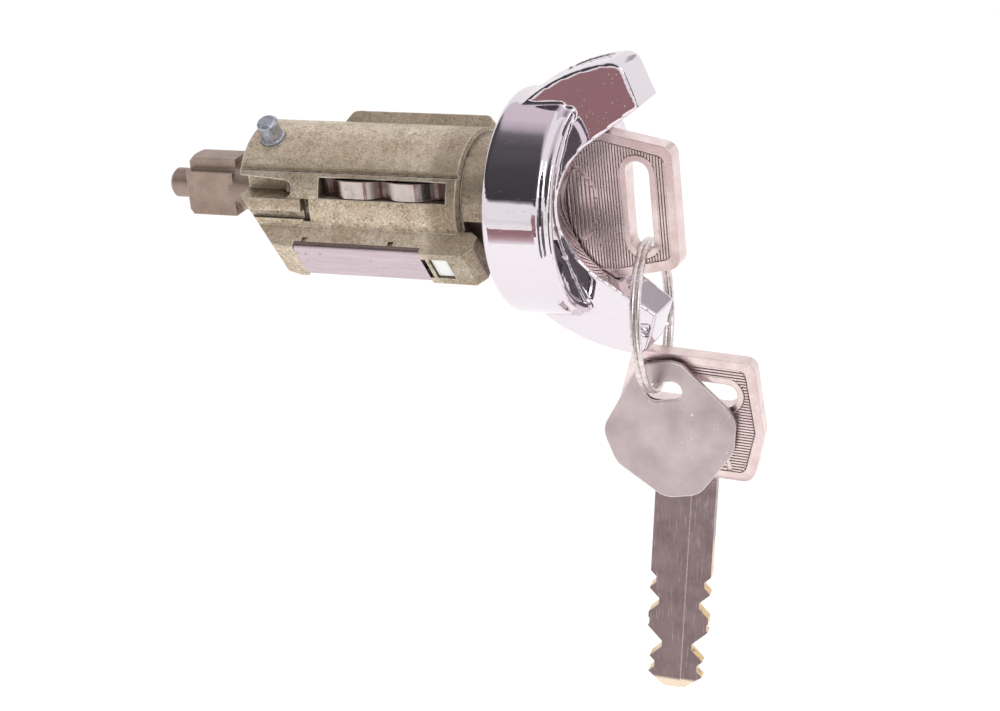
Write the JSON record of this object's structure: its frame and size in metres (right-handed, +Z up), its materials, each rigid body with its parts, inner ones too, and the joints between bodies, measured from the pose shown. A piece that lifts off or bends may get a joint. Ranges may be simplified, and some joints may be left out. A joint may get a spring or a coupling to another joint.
{
  "type": "ignition lock cylinder with keys",
  "caption": "Die-cast ignition lock cylinder with a winged chrome knob, drive tail, sprung retaining pin, and its keys on a split ring with a tag.",
  "frame": {"origin": "on the lock axis at the front face of the sleeve", "axes": "+X along the lock axis towards the key, +Z up in the plane of the wings and the key, +Y to the far side"},
  "size_m": [0.0923, 0.0332, 0.1006],
  "materials": {
    "zinc_cast": "die-cast zinc with a yellow-brown chromate film, speckled as cast",
    "zinc_brown": "die-cast zinc, brownish grey",
    "steel": "drawn steel",
    "chrome": "bright chrome plate",
    "zinc_plate": "bluish zinc plate",
    "spring_steel": "polished dark spring steel",
    "bright_steel": "bright rolled steel",
    "white_plastic": "white nylon",
    "brass": "turned brass",
    "nickel_brass": "nickel-plated brass, worn to brass at the cuts",
    "nickel_wire": "nickel-plated wire",
    "satin_nickel": "satin nickel sheet"
  },
  "bodies": {
    "sleeve": {"sleeve": "zinc_cast", "retaining_pin_spring": "spring_steel", "detent_wave_spring": "spring_steel", "pin_cover": "bright_steel", "driver_pin_1": "brass", "driver_pin_2": "brass", "driver_pin_3": "brass", "driver_pin_4": "brass", "driver_pin_5": "brass", "pin_spring_1": "spring_steel", "pin_spring_2": "spring_steel", "pin_spring_3": "spring_steel", "pin_spring_4": "spring_steel", "pin_spring_5": "spring_steel"},
    "plug": {"plug": "zinc_brown", "tail_shaft": "zinc_brown", "tail_cross_pin": "steel", "tail_snap_ring": "steel", "knob": "chrome", "knob_spring_pin": "steel", "key_pin_1": "brass", "key_pin_2": "brass", "key_pin_3": "brass", "key_pin_4": "brass", "key_pin_5": "brass"},
    "key": {"ignition_key": "nickel_brass"},
    "ring": {"key_ring": "nickel_wire"},
    "tag": {"key_tag": "satin_nickel"},
    "spare_key": {"spare_key": "nickel_brass"},
    "retaining_pin": {"retaining_pin": "zinc_plate"},
    "warning_plunger": {"key_warning_plunger": "white_plastic"}
  },
  "joints": [
    {"name": "plug_turn", "type": "hinge", "parent": "sleeve", "child": "plug", "pos_m": [0, 0, 0], "axis": [-1, 0, 0], "range_deg": [0, 145]},
    {"name": "key_withdraw", "type": "slide", "parent": "plug", "child": "key", "axis": [1, 0, 0], "range_m": [0, 0.042]},
    {"name": "ring_swing", "type": "hinge", "parent": "key", "child": "ring", "pos_m": [0.02465, 0, -0.00603], "axis": [-0.1564, 0.9877, 0], "range_deg": [-30, 8]},
    {"name": "tag_swing", "type": "hinge", "parent": "ring", "child": "tag", "pos_m": [0.02465, 0, -0.02803], "axis": [-0.1564, 0.9877, 0], "range_deg": [-25, 10]},
    {"name": "spare_key_swing", "type": "hinge", "parent": "ring", "child": "spare_key", "pos_m": [0.02465, 0, -0.02803], "axis": [-0.1564, 0.9877, 0], "range_deg": [-18, 5]},
    {"name": "retaining_pin_press", "type": "slide", "parent": "sleeve", "child": "retaining_pin", "axis": [0, 0.4067, -0.9135], "range_m": [0, 0.0032], "stiffness_N_per_m": 600, "springref_m": -0.003, "deforming": ["retaining_pin_spring"]},
    {"name": "warning_plunger_travel", "type": "slide", "parent": "sleeve", "child": "warning_plunger", "axis": [0, 0.8192, 0.5736], "range_m": [0, 0.001]}
  ]
}
